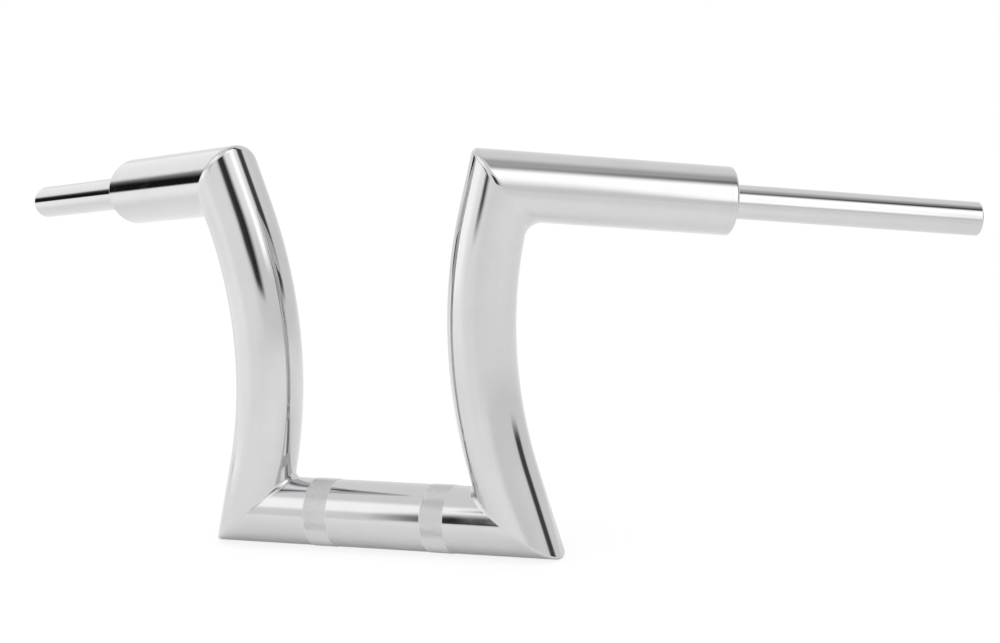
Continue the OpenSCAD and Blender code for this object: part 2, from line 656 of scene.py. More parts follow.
@dataclass
class Finishes:
    """Materials of the bar, each made once.

    Attributes:
        tube: plate on the body tube.
        grip: plate on the grip tubes.
        plug: plate on the turned end plugs.
        weld: plate on the ground welds.
        knurl: plate on the clamp bands.
        bore: bare steel inside.
    """

    tube: bpy.types.Material
    grip: bpy.types.Material
    plug: bpy.types.Material
    weld: bpy.types.Material
    knurl: bpy.types.Material
    bore: bpy.types.Material

    @classmethod
    def make(cls) -> "Finishes":
        """Makes all the materials.

        Returns:
            The set of them.
        """
        return cls(
            tube=Plate("chrome_body").material(),
            grip=Plate("chrome_grip_tube", wave=0.00003).material(),
            plug=Plate("chrome_turned", wave=0.00001, grain=0.0000015, blur=0.05).material(),
            weld=Plate("chrome_ground_weld", wave=0.0001, wave_scale=70.0, blur=0.06).material(),
            knurl=Plate("chrome_knurled", grey=0.67, blur=0.3, haze=0.015, wave=0.0).material(),
            bore=BareSteel().material(),
        )


@dataclass
class RoundWall:
    """One cylindrical face of a tube, between two ends that may be mitred.

    Attributes:
        origin: a point on the axis.
        d: unit direction of the axis.
        r: radius of the face.
        facets: facets round the circle.
        inward: whether the face looks at the axis, as a bore does.
    """

    origin: np.ndarray
    d: np.ndarray
    r: float
    facets: int = OUTER_FACETS
    inward: bool = False

    def spokes(self) -> np.ndarray:
        """Radial unit directions round the circle.

        Returns:
            One for each facet's edge.
        """
        first, second = square_pair(self.d)
        turn = np.linspace(0, 2 * pi, self.facets, endpoint=False)[:, None]
        return np.cos(turn) * first + np.sin(turn) * second

    def flat_end(self, at: float) -> np.ndarray:
        """Distances along the axis of a square end."""
        return np.full(self.facets, at)

    def mitred_end(self, corner: np.ndarray, normal: np.ndarray) -> np.ndarray:
        """Distances along the axis at which the face's lines meet a plane, from its point and normal."""
        start = self.origin + self.r * self.spokes()
        return ((corner - start) @ normal) / (self.d @ normal)

    def rows(self, stations: list) -> Rows:
        """Rows of the face at a list of stations.

        Args:
            stations: arrays of distances along the axis, one value for each spoke.

        Returns:
            The rows, one for each station.
        """
        spokes = self.spokes()
        t = np.stack(stations)
        points = self.origin + self.r * spokes[None] + t[..., None] * self.d
        normals = np.broadcast_to(-spokes if self.inward else spokes, points.shape)
        return Rows(points, normals, t)

    def between(self, start: np.ndarray, end: np.ndarray, pieces: int) -> Rows:
        """Evenly spaced rows between two ends, both included."""
        return self.rows([start + (end - start) * k / pieces for k in range(pieces + 1)])


@dataclass(frozen=True)
class MitreEdge:
    """Edge at a mitre, eased where it lies on the outside of the corner.

    Attributes:
        normal: mitre plane's normal, away from this tube.
        ease: full width of the eased edge on the tube.
        full_angle: angle between wall and plane, in radians, from which the edge has its full width.
        no_angle: angle up to which the wall keeps its own normal.
        least_slant: least share of the inward push that goes straight into the wall.
        shares: places of the rows, as shares of the edge's width.
    """

    normal: np.ndarray
    ease: float
    full_angle: float = 0.15
    no_angle: float = 1e-6
    least_slant: float = 0.2
    shares: tuple = (0.0, 0.12, 0.26, 0.42, 0.6, 0.8, 1.0)

    def soften(self, wall: RoundWall, end: np.ndarray, way: int) -> Rows:
        """Rows from the mitre to where the plain tube begins.

        Args:
            wall: the tube's outer face.
            end: distances at which the face's lines meet the plane.
            way: +1 if the tube runs on towards larger distances, else -1.

        Returns:
            The rows, of which the last lies on the plain tube.
        """
        spokes = wall.spokes()
        in_plane = unit(spokes - (spokes @ self.normal)[:, None] * self.normal)
        sideways = in_plane - spokes * (in_plane * spokes).sum(1)[:, None]
        outer = np.clip(np.arcsin(np.clip(-(spokes @ self.normal), -1, 1)), 0, None)
        lean = np.tan(outer)
        reach = self.ease * np.minimum(1.0, outer / self.full_angle)
        points, normals, along = [], [], []
        for share in self.shares:
            s = reach * share
            drop = np.where(reach > 0, (reach - s) ** 2 / (2 * np.maximum(reach, TINY)) * lean, 0)
            turn = np.arctan(lean * (1 - share))
            tipped = unit(spokes * np.cos(turn)[:, None]
                          + sideways * (np.sin(turn) / np.maximum(np.sin(outer), TINY))[:, None])
            aim = unit(in_plane * (1 - share) + spokes * share)
            push = drop / np.maximum((aim * spokes).sum(1), self.least_slant)
            t = end + way * s
            points.append(wall.origin + wall.r * spokes + t[:, None] * wall.d - push[:, None] * aim)
            normals.append(np.where((outer > self.no_angle)[:, None], tipped, spokes))
            along.append(t)
        return Rows(np.stack(points), np.stack(normals), np.stack(along))


@dataclass(frozen=True)
class ClampBand:
    """Band of diamond knurling, a chequer of peaks and valleys whose peaks are cut to small lands.

    Attributes:
        sizes: the bar's sizes.
        finish: material of the knurl.
        centre: x of the band's middle.
        pitch: distance from peak to peak.
        land: share of the way to the next valley that a land takes.
        edge: width of the plain bevel on each side.
        valley: height of the valleys above the tube.
        corners: steps from a peak to its four neighbours, over the width and round the band.
    """

    sizes: BarSizes
    finish: bpy.types.Material
    centre: float
    pitch: float = 1.6 * MM
    land: float = 0.3
    edge: float = 0.35 * MM
    valley: float = 0.02 * MM
    corners: tuple = ((1, 0), (0, 1), (-1, 0), (0, -1))

    @property
    def width(self) -> float:
        """Width of the knurl between the bevels."""
        return self.sizes.band_width - 2 * self.edge

    @property
    def around(self) -> int:
        """Steps round the band, which are even."""
        return int(round(2 * pi * self.sizes.tube_r / self.pitch)) * 2

    @property
    def across(self) -> int:
        """Steps over its width, which are even."""
        return int(round(self.width / self.pitch)) * 2

    @staticmethod
    def place(x: np.ndarray, turn: np.ndarray, radius: np.ndarray) -> np.ndarray:
        """Points at x, at an angle and a distance round the bar's axis."""
        return np.stack([x, radius * np.cos(turn), radius * np.sin(turn)], -1)

    def knurl(self, skin: Skin) -> None:
        """Adds the peaks, the valleys and the half valleys along both sides.

        Args:
            skin: the crossbar's skin.
        """
        z = self.sizes
        around, across = self.around, self.across
        low, high = z.tube_r + self.valley, z.tube_r + z.band_height
        i, j = np.meshgrid(np.arange(across + 1), np.arange(around), indexing="ij")
        x = self.centre - z.band_width / 2 + self.edge + self.width * i / across
        turn = 2 * pi * j / around
        peak = ((i + j) % 2 == 0) & (i > 0) & (i < across)
        flat = self.place(x, turn, np.where(peak, high, low)).reshape(-1, 3)
        index = np.arange(len(flat)).reshape(across + 1, around)
        aside, on = self.width / across * self.land, 2 * pi / around * self.land
        tops, triangles = [], []
        for row, col in np.argwhere(peak).tolist():
            top = [len(flat) + len(tops) + k for k in range(len(self.corners))]
            rims = [index[row + a, (col + b) % around] for a, b in self.corners]
            tops.extend(self.place(x[row, col] + a * aside, turn[row, col] + b * on, high)
                        for a, b in self.corners)
            for k in range(len(top)):
                m = (k + 1) % len(top)
                triangles.append((top[k], rims[k], rims[m]))
                triangles.append((top[k], rims[m], top[m]))
            triangles.append((top[0], top[1], top[2]))
            triangles.append((top[0], top[2], top[3]))
        for row, way in ((0, 1), (across, -1)):
            for col in range(0, around, 2):
                here, deep = index[row, col], index[row + way, col]
                triangles.append((here, index[row, (col - 1) % around], deep))
                triangles.append((here, deep, index[row, (col + 1) % around]))
        points = np.concatenate([flat, np.array(tops)])
        faces = np.array(triangles)
        p = points[faces]
        normal = np.cross(p[:, 1] - p[:, 0], p[:, 2] - p[:, 0])
        outwards = p.mean(1) * (1 - ACROSS)
        wrong = (normal * outwards).sum(1) < 0
        faces[wrong] = faces[wrong][:, ::-1]
        skin.facets(points, faces, self.finish)

    def bevels(self, skin: Skin) -> None:
        """Adds the plain bevel on both sides.

        Args:
            skin: the crossbar's skin.
        """
        z = self.sizes
        turn = 2 * pi * np.arange(self.around) / self.around
        spokes = self.place(np.zeros(self.around), turn, np.ones(self.around))
        for way in (-1, 1):
            mouth = np.full(self.around, self.centre + way * (z.band_width / 2 - self.edge))
            foot = np.full(self.around, self.centre + way * z.band_width / 2)
            ring = np.stack([self.place(mouth, turn, z.tube_r + self.valley),
                             self.place(foot, turn, z.tube_r)])
            skin.sheet(Rows(ring, np.stack([spokes, spokes]), np.zeros(ring.shape[:2])))


@dataclass
class Piece(ABC):
    """Piece of the bar, which is dressed as one mesh.

    Attributes:
        sizes: the bar's sizes.
        finishes: the bar's materials.
    """

    sizes: BarSizes
    finishes: Finishes

    @abstractmethod
    def build(self) -> bpy.types.Object:
        """Builds the piece's object in place of its node."""


@dataclass
class SidePiece(Piece):
    """Piece of which each half of the bar has one.

    Attributes:
        side: half of the bar.
    """

    side: Side


@dataclass
class Crossbar(Piece):
    """Straight tube between the lower mitres, with the two knurled clamp bands.

    Attributes:
        wall_rows: rows of facets on each stretch of the outside.
        bore_rows: rows of facets on the inside.
    """

    wall_rows: int = 24
    bore_rows: int = 6

    def build(self) -> bpy.types.Object:
        """Builds the crossbar.

        Returns:
            Its object.
        """
        z, f = self.sizes, self.finishes
        skin = Skin("crossbar_plated", [f.tube, f.knurl, f.bore])
        normal = unit(ACROSS + z.low_dir)
        outer = RoundWall(np.zeros(3), ACROSS, z.tube_r)
        bore = RoundWall(np.zeros(3), ACROSS, z.tube_bore, BORE_FACETS, inward=True)
        inner, edge = z.band_spacing / 2 - z.band_width / 2, z.band_spacing / 2 + z.band_width / 2
        ends = ((z.low_corner, normal), (z.low_corner * MIRROR, normal * MIRROR))
        for (corner, out), way in zip(ends, (-1, 1)):
            eased = MitreEdge(out, z.low_ease).soften(outer, outer.mitred_end(corner, out), way)
            skin.sheet(eased)
            skin.sheet(outer.between(eased.along[-1], outer.flat_end(-way * edge), self.wall_rows))
        skin.sheet(outer.between(outer.flat_end(-inner), outer.flat_end(inner), self.wall_rows))
        for centre in (-z.band_spacing / 2, z.band_spacing / 2):
            band = ClampBand(z, f.knurl, centre)
            band.knurl(skin)
            band.bevels(skin)
        right, left = (bore.mitred_end(corner, out) for corner, out in ends)
        skin.sheet(bore.between(left, right, self.bore_rows), f.bore)
        obj = skin.mesh_object()
        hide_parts("crossbar")
        return obj


@dataclass
class Upright(SidePiece):
    """Gently bent tube, mitred at both ends.

    Attributes:
        straight_rows: rows of facets on each straight.
        bend_rows: rows of facets on the bend.
    """

    straight_rows: int = 12
    bend_rows: int = 72

    def bend(self, r: float, facets: int, inward: bool) -> Rows:
        """Rows of the bend, from its lower end to its upper end.

        Args:
            r: radius of the face round the tube's axis.
            facets: facets round the tube.
            inward: whether the face looks at the axis.

        Returns:
            The rows.
        """
        z = self.sizes
        points, normals, along = [], [], []
        for a in np.radians(np.linspace(z.lean_in, -z.lean_out, self.bend_rows + 1)):
            d = np.array([-sin(a), 0.0, cos(a)])
            middle = z.bend_centre - z.bend_r * np.array([cos(a), 0.0, sin(a)])
            wall = RoundWall(middle, d, r, facets, inward)
            ring = wall.rows([wall.flat_end(0.0)])
            points.append(ring.points[0])
            normals.append(ring.normals[0])
            along.append(np.full(facets, z.bend_r * (radians(z.lean_in) - a)))
        return Rows(np.stack(points), np.stack(normals), np.stack(along))

    def build(self) -> bpy.types.Object:
        """Builds the upright.

        Returns:
            Its object.
        """
        z, f = self.sizes, self.finishes
        skin = Skin(f"{self.side.word}_upright_plated", [f.tube, f.bore], self.side)
        low_out = -unit(ACROSS + z.low_dir)
        high_out = unit(z.high_dir + z.arm_dir)
        faces = ((z.tube_r, OUTER_FACETS, False, f.tube), (z.tube_bore, BORE_FACETS, True, f.bore))
        for r, facets, inward, finish in faces:
            low = RoundWall(z.low_corner, z.low_dir, r, facets, inward)
            high = RoundWall(z.high_corner, z.high_dir, r, facets, inward)
            low_end = low.mitred_end(z.low_corner, low_out)
            high_end = high.mitred_end(z.high_corner, high_out)
            if not inward:
                low_edge = MitreEdge(low_out, z.low_ease).soften(low, low_end, 1)
                high_edge = MitreEdge(high_out, z.high_ease).soften(high, high_end, -1)
                skin.sheet(low_edge)
                skin.sheet(high_edge)
                low_end, high_end = low_edge.along[-1], high_edge.along[-1]
            bend_foot, bend_head = low.flat_end(z.low_straight), high.flat_end(-z.high_straight)
            skin.sheet(low.between(low_end, bend_foot, self.straight_rows), finish)
            skin.sheet(self.bend(r, facets, inward), finish)
            skin.sheet(high.between(bend_head, high_end, self.straight_rows), finish)
        obj = skin.mesh_object()
        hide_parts(f"{self.side.word}_upright")
        return obj


@dataclass
class Arm(SidePiece):
    """Straight tube from the upper mitre to the end plug.

    Attributes:
        wall_rows: rows of facets on the outside.
        bore_rows: rows of facets on the inside.
    """

    wall_rows: int = 48
    bore_rows: int = 6

    def build(self) -> bpy.types.Object:
        """Builds the arm.

        Returns:
            Its object.
        """
        z, f = self.sizes, self.finishes
        skin = Skin(f"{self.side.word}_arm_plated", [f.tube, f.bore], self.side)
        out = -unit(z.high_dir + z.arm_dir)
        stop = z.arm_len - z.rim_len
        outer = RoundWall(z.high_corner, z.arm_dir, z.tube_r)
        bore = RoundWall(z.high_corner, z.arm_dir, z.tube_bore, BORE_FACETS, inward=True)
        eased = MitreEdge(out, z.high_ease).soften(outer, outer.mitred_end(z.high_corner, out), 1)
        skin.sheet(eased)
        skin.sheet(outer.between(eased.along[-1], outer.flat_end(stop), self.wall_rows))
        start = bore.mitred_end(z.high_corner, out)
        skin.sheet(bore.between(start, bore.flat_end(stop), self.bore_rows), f.bore)
        obj = skin.mesh_object()
        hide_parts(f"{self.side.word}_arm")
        return obj


@dataclass
class Turned:
    """Surface of revolution about the arm's axis.

    Attributes:
        place: point on the axis from which heights are measured.
        d: unit direction of the axis.
        facets: facets round the circle.
    """

    place: np.ndarray
    d: np.ndarray
    facets: int

    def add(self, skin: Skin, profile: list, finish: Optional[bpy.types.Material] = None,
            smooth: bool = False) -> None:
        """Revolves a profile.

        Args:
            skin: skin that takes the surface.
            profile: radius and height pairs, with the solid on their left-hand side.
            finish: its material, or None for the usual one.
            smooth: whether the profile is one smooth curve, and not straight runs.
        """
        line = np.array(profile, float)
        step = np.diff(line, axis=0)
        out = unit(np.stack([step[:, 1], -step[:, 0]], -1))
        starts = ends = out
        if smooth:
            middle = unit(out[:-1] + out[1:])
            starts = np.concatenate([out[:1], middle])
            ends = np.concatenate([middle, out[-1:]])
        spokes = RoundWall(self.place, self.d, 1.0, self.facets).spokes()
        for k in range(len(step)):
            points, normals, along = [], [], []
            for (r, h), (nr, nh) in ((line[k], starts[k]), (line[k + 1], ends[k])):
                points.append(self.place + r * spokes + h * self.d)
                normals.append(nr * spokes + nh * self.d)
                along.append(np.full(self.facets, h + r))
            skin.sheet(Rows(np.stack(points), np.stack(normals), np.stack(along)), finish)


def quarter(cx: float, cy: float, r: float, start: float, end: float, pieces: int = 10) -> list:
    """Points of an arc, in degrees.

    Args:
        cx: centre's radius.
        cy: centre's height.
        r: arc's radius.
        start: first angle.
        end: last angle.
        pieces: number of chords.

    Returns:
        Radius and height pairs.
    """
    turns = [radians(start + (end - start) * k / pieces) for k in range(pieces + 1)]
    return [(cx + r * cos(a), cy + r * sin(a)) for a in turns]


@dataclass
class EndPlug(SidePiece):
    """Turned ring in the arm's open end, which carries the grip tube.

    Attributes:
        groove: small bevel where the rim meets the arm.
        facets: facets round the ring.
    """

    groove: float = 0.05 * MM
    facets: int = 160

    def build(self) -> bpy.types.Object:
        """Builds the plug.

        Returns:
            Its object.
        """
        z, f = self.sizes, self.finishes
        skin = Skin(f"{self.side.word}_end_plug_plated", [f.plug, f.bore], self.side)
        ring = Turned(z.high_corner + (z.arm_len - z.rim_len) * z.arm_dir, z.arm_dir, self.facets)
        edge = quarter(z.tube_r - z.rim_round, z.rim_len - z.rim_round, z.rim_round, 0, 90)
        root = quarter(z.grip_r + z.root_round, z.rim_len + z.root_round, z.root_round, 270, 180)
        foot = (z.tube_r - self.groove, 0.0)
        ring.add(skin, [(z.grip_seat, -z.spigot_len), (z.tube_bore, -z.spigot_len),
                        (z.tube_bore, 0.0), foot], f.bore)
        ring.add(skin, [foot, (z.tube_r, self.groove), (z.tube_r, z.rim_len - z.rim_round)])
        ring.add(skin, edge, smooth=True)
        ring.add(skin, [edge[-1], root[0]])
        ring.add(skin, root, smooth=True)
        ring.add(skin, [root[-1], (z.grip_seat, z.rim_len + z.root_round),
                        (z.grip_seat, -z.spigot_len)], f.bore)
        obj = skin.mesh_object()
        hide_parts(f"{self.side.word}_end_plug")
        return obj


@dataclass
class GripTube(SidePiece):
    """Slim tube that takes the grip, with its held end turned down.

    Attributes:
        bore_chamfer: chamfer round the mouth of the bore.
        facets: facets round the tube.
        wall_rows: rows of facets along its outside.
        chamfer_near: smaller share of the chamfer that its two rounding points keep.
        chamfer_far: larger share of the chamfer that they keep.
    """

    bore_chamfer: float = 0.5 * MM
    facets: int = 128
    wall_rows: int = 40
    chamfer_near: float = 0.12
    chamfer_far: float = 0.6

    def build(self) -> bpy.types.Object:
        """Builds the grip tube.

        Returns:
            Its object.
        """
        z, f = self.sizes, self.finishes
        skin = Skin(f"{self.side.word}_grip_tube_plated", [f.grip, f.bore], self.side)
        ring = Turned(z.high_corner + (z.arm_len - z.grip_hold) * z.arm_dir, z.arm_dir, self.facets)
        total = z.grip_len + z.grip_hold
        shoulder = z.grip_hold + z.root_round
        ring.add(skin, [(z.grip_bore, 0.0), (z.grip_seat, 0.0), (z.grip_seat, shoulder),
                        (z.grip_r, shoulder)], f.bore)
        length = total - z.grip_chamfer - shoulder
        body = [(z.grip_r, shoulder + length * k / self.wall_rows) for k in range(self.wall_rows + 1)]
        ring.add(skin, body)
        bevel = z.grip_chamfer
        near, far = bevel * self.chamfer_near, bevel * self.chamfer_far
        rim = (z.grip_r - bevel, total)
        mouth = (z.grip_bore + self.bore_chamfer, total)
        throat = (z.grip_bore, total - self.bore_chamfer)
        ring.add(skin, [body[-1], (z.grip_r - near, total - far), (z.grip_r - far, total - near), rim],
                 smooth=True)
        ring.add(skin, [rim, mouth])
        ring.add(skin, [mouth, throat])
        ring.add(skin, [throat, (z.grip_bore, 0.0)], f.bore)
        obj = skin.mesh_object()
        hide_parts(f"{self.side.word}_grip_tube")
        return obj


@dataclass
class CornerWeld(SidePiece):
    """Fillet rolled by a ball along the inside of a mitred corner.

    Attributes:
        corner: corner in which it lies.
        rings: steps from one tip of the weld to the other.
        arc_steps: steps over its width.
        least_opening: width in radians under which a ring counts as a point.
    """

    corner: Corner
    rings: int = 96
    arc_steps: int = 14
    least_opening: float = 1e-4

    def ring(self, first: np.ndarray, second: np.ndarray, ball: float,
             phi: float) -> tuple[list, list, list]:
        """Points over the weld's width where the ball touches it.

        Args:
            first: direction in which the first tube leaves the corner.
            second: direction in which the second tube leaves it.
            ball: the ball's radius.
            phi: angle round the corner, from one tip to the other.

        Returns:
            Places from the corner, outward normals and distances over the width.
        """
        along = unit(first + second)
        across = unit(np.cross(first, second))
        half = acos(first @ second) / 2
        centre = (self.sizes.tube_r + ball) * (cos(phi) / sin(half) * along + sin(phi) * across)
        to_first = unit((centre @ first) * first - centre)
        to_second = unit((centre @ second) * second - centre)
        opening = acos(float(np.clip(to_first @ to_second, -1, 1)))
        shares = [i / self.arc_steps for i in range(self.arc_steps + 1)]
        ways = [to_first for _ in shares]
        if opening >= self.least_opening:
            ways = [(sin((1 - t) * opening) * to_first + sin(t * opening) * to_second) / sin(opening)
                    for t in shares]
        return ([centre + ball * way for way in ways], [-way for way in ways],
                [ball * opening * t for t in shares])

    def build(self) -> bpy.types.Object:
        """Builds the weld.

        Returns:
            Its object.
        """
        z = self.sizes
        word = self.corner.value
        place, ball, first, second = z.low_corner, z.lower_weld, -ACROSS, z.low_dir
        if self.corner is Corner.UPPER:
            place, ball, first, second = z.high_corner, z.upper_weld, -z.high_dir, z.arm_dir
        turns = [radians(HALF_TURN * k / self.rings - HALF_TURN / 2) for k in range(self.rings + 1)]
        made = [self.ring(first, second, ball, phi) for phi in turns]
        points, normals, along = (np.array(part) for part in zip(*made))
        skin = Skin(f"{self.side.word}_{word}_weld_plated", [self.finishes.weld], self.side)
        skin.sheet(Rows(place + points, normals, along), closed=False)
        obj = skin.mesh_object()
        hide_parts(f"{self.side.word}_{word}_weld")
        return obj


def compass(azimuth: float, elevation: float) -> np.ndarray:
    """Direction from degrees of azimuth, where 0 looks along -Y and 90 along +X, and elevation."""
    a, e = radians(azimuth), radians(elevation)
    return np.array([sin(a) * cos(e), -cos(a) * cos(e), sin(e)])


@dataclass(frozen=True)
class Patch:
    """Part of the tent that is brighter or darker than the rest, in degrees.

    Attributes:
        azimuth: direction of its middle.
        reach: half of the width over which it is full.
        fade: width of the soft edge on each side.
        foot: elevation at which it starts.
        low: elevation from which it is full.
        high: elevation up to which it is full.
        head: elevation at which it ends.
        level: its brightness, where 1 is white.
    """

    azimuth: float
    reach: float
    fade: float
    foot: float
    low: float
    high: float
    head: float
    level: float

    def shade(self, n: Nodes, azimuth: bpy.types.NodeSocket, elevation: bpy.types.NodeSocket,
              below: bpy.types.NodeSocket) -> bpy.types.NodeSocket:
        """Lays the patch over the brightness below it.

        Args:
            n: world's nodes.
            azimuth: azimuth of the ray, in degrees.
            elevation: elevation of the ray, in degrees.
            below: brightness so far.

        Returns:
            Brightness with the patch.
        """
        turned = n.math("SUBTRACT", azimuth, self.azimuth)
        wrapped = n.add("Math", {0: turned, 1: -HALF_TURN, 2: HALF_TURN},
                        operation="WRAP").outputs[0]
        mask = n.ramp(n.math("ABSOLUTE", wrapped), self.reach, self.reach + self.fade, 1.0, 0.0)
        mask = n.math("MULTIPLY", mask, n.ramp(elevation, self.foot, self.low))
        mask = n.math("MULTIPLY", mask, n.ramp(elevation, self.high, self.head, 1.0, 0.0))
        return n.mix(mask, below, self.level)


@dataclass(frozen=True)
class Card:
    """Soft-edged card beside the bar, black or bright, which only shows in the chrome.

    Attributes:
        name: object's name.
        azimuth: direction in which it stands, in degrees.
        distance: from the bar, in metres.
        left: its left edge, from its middle.
        right: its right edge, from its middle.
        bottom: height of its lower edge.
        top: height of its upper edge.
        fade_left: share of its width over which the left edge fades.
        fade_right: share of its width over which the right edge fades.
        fade_bottom: share of its height over which the lower edge fades.
        fade_top: share of its height over which the upper edge fades.
        level: its brightness, where 1 is white.
        lean: how far its top is set over to the left.
    """

    name: str
    azimuth: float
    distance: float
    left: float
    right: float
    bottom: float
    top: float
    fade_left: float
    fade_right: float
    fade_bottom: float
    fade_top: float
    level: float
    lean: float = 0.0

    def material(self) -> bpy.types.Material:
        """Builds the card's glow, which turns clear towards its edges.

        Returns:
            The material.
        """
        made, n = paint_pot(self.name)
        place = n.add("SeparateXYZ", {0: n.add("UVMap", uv_map="card").outputs["UV"]})
        mask = n.math("MULTIPLY", n.ramp(place.outputs[0], 0.0, self.fade_left),
                      n.ramp(place.outputs[0], 1.0 - self.fade_right, 1.0, 1.0, 0.0))
        mask = n.math("MULTIPLY", mask, n.ramp(place.outputs[1], 0.0, self.fade_bottom))
        mask = n.math("MULTIPLY", mask, n.ramp(place.outputs[1], 1.0 - self.fade_top, 1.0, 1.0, 0.0))
        clear = n.add("BsdfTransparent")
        glow = n.add("Emission", {"Color": WHITE, "Strength": self.level})
        mixed = n.add("MixShader", {0: mask, 1: clear.outputs[0], 2: glow.outputs[0]})
        n.add("OutputMaterial", {"Surface": mixed.outputs[0]})
        return made

    def build(self) -> None:
        """Builds the card and takes it off every ray but the glossy ones."""
        ahead = compass(self.azimuth, 0.0)
        across = unit(np.cross(UP, ahead))
        spots = [(self.left, self.bottom), (self.right, self.bottom),
                 (self.right - self.lean, self.top), (self.left - self.lean, self.top)]
        verts = [self.distance * ahead + a * across + b * UP for a, b in spots]
        mesh = bpy.data.meshes.new(self.name)
        mesh.from_pydata([v.tolist() for v in verts], [], [(0, 1, 2, 3)])
        layer = mesh.uv_layers.new(name="card")
        layer.data.foreach_set("uv", [0.0, 0.0, 1.0, 0.0, 1.0, 1.0, 0.0, 1.0])
        mesh.materials.append(self.material())
        obj = link(self.name, mesh)
        obj.visible_camera = False
        obj.visible_diffuse = False
        obj.visible_shadow = False
        obj.visible_transmission = False
        obj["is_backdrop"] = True


@dataclass
class Studio:
    """White tent round the bar, with a floor, softboxes and the dark gaps between them.

    Attributes:
        floor_z: height of the floor, just under the bar.
        floor_r: radius of the floor.
        floor_sides: corners of its outline.
        floor_cloud: size and detail of its faint mottle.
        floor_span: noise values between which the mottle runs.
        floor_tones: darkest and brightest reflectance of the floor.
        floor_seen: share of plain white in the floor as the camera sees it.
        floor_mirrored: share of plain white in the floor as the chrome shows it.
        floor_fade: shares of its radius between which the floor turns clear.
        wall_turn: elevations between which the tent's wall gets brighter.
        wall_tones: brightness of the wall below and above them.
        foot_turn: elevations between which the brighter foot of the wall ends.
        foot_tones: brightness of the foot below and above them.
        lamp_size: side of the square lamp.
        lamp_power: its power, in watts.
        lamp_place: where it hangs.
        patches: brighter and darker parts of the tent.
        cards: cards that stand near the bar.
    """

    floor_z: float = -25.75 * MM
    floor_r: float = 0.95
    floor_sides: int = 96
    floor_cloud: tuple = (3.0, 3.0)
    floor_span: tuple = (0.3, 0.7)
    floor_tones: tuple = (0.9, 0.94)
    floor_seen: float = 0.85
    floor_mirrored: float = 0.15
    floor_fade: tuple = (0.25, 0.98)
    wall_turn: tuple = (6.0, 14.0)
    wall_tones: tuple = (0.9, 0.97)
    foot_turn: tuple = (-14.0, 0.0)
    foot_tones: tuple = (0.99, 0.78)
    lamp_size: float = 1.6
    lamp_power: float = 9.0
    lamp_place: tuple = (0.1, -0.2, 1.5)
    patches: tuple = (
        Patch(azimuth=-75, reach=32, fade=18, foot=-26, low=-14, high=3, head=12, level=1.22),
        Patch(azimuth=-76, reach=10, fade=16, foot=-10, low=-5, high=3, head=12, level=1.45),
        Patch(azimuth=-25, reach=13, fade=16, foot=-20, low=-9, high=-7, head=-3, level=1.1),
        Patch(azimuth=-3, reach=4, fade=28, foot=-14, low=-8, high=8, head=20, level=1.09),
        Patch(azimuth=-40, reach=26, fade=16, foot=14, low=26, high=44, head=55, level=1.45),
        Patch(azimuth=-90, reach=60, fade=40, foot=64, low=92, high=93, head=94, level=0.7),
        Patch(azimuth=108, reach=14, fade=50, foot=46, low=60, high=91, head=92, level=0.55),
        Patch(azimuth=112, reach=16, fade=18, foot=46, low=53, high=55, head=62, level=0.3),
        Patch(azimuth=66, reach=12, fade=20, foot=0, low=34, high=43, head=56, level=1.7),
        Patch(azimuth=-128, reach=12, fade=10, foot=4, low=10, high=16, head=28, level=1.15),
        Patch(azimuth=105, reach=6, fade=9, foot=-5, low=0, high=54, head=62, level=0.075),
        Patch(azimuth=-105, reach=5, fade=4, foot=-8, low=-5, high=1, head=17, level=0.01),
    )
    cards: tuple = (
        Card("dark_card_near", azimuth=28, distance=1.2, left=-0.4, right=0.37, bottom=0.045, top=0.62,
             fade_left=0.38, fade_right=0.42, fade_bottom=0.13, fade_top=0.2, level=0.03),
        Card("dark_card_far", azimuth=0, distance=2.19, left=-1.04, right=-0.78, bottom=-0.03, top=2.0,
             fade_left=0.54, fade_right=0.2, fade_bottom=0.05, fade_top=0.7, level=0.01, lean=0.2),
        Card("dark_card_small", azimuth=0, distance=0.22, left=-0.066, right=0.054, bottom=0.166,
             top=0.35, fade_left=0.5, fade_right=0.5, fade_bottom=0.25, fade_top=0.3, level=0.05),
        Card("softbox_low", azimuth=70.9, distance=1.41, left=-0.28, right=0.28, bottom=0.2, top=1.3,
             fade_left=0.36, fade_right=0.36, fade_bottom=0.2, fade_top=0.4, level=1.65),
    )

    def world(self) -> None:
        """Builds the tent as the world's background, plain white where it is seen straight."""
        world = bpy.data.worlds.new("tent")
        bpy.context.scene.world = world
        world.use_nodes = True
        n = Nodes(world.node_tree)
        place = n.add("SeparateXYZ", {0: n.add("TexCoord").outputs["Generated"]})
        east, north, height = place.outputs
        azimuth = n.math("DEGREES", n.math("ARCTAN2", east, n.math("MULTIPLY", north, -1.0)))
        elevation = n.math("DEGREES", n.math("ARCSINE", height))
        level = n.math("MAXIMUM", n.ramp(elevation, *self.wall_turn, *self.wall_tones),
                       n.ramp(elevation, *self.foot_turn, *self.foot_tones))
        for patch in self.patches:
            level = patch.shade(n, azimuth, elevation, level)
        seen = n.mix(n.seen_straight(), level, 1.0)
        light = n.add("Background", {"Color": WHITE, "Strength": seen})
        n.add("OutputWorld", {"Surface": light.outputs[0]})

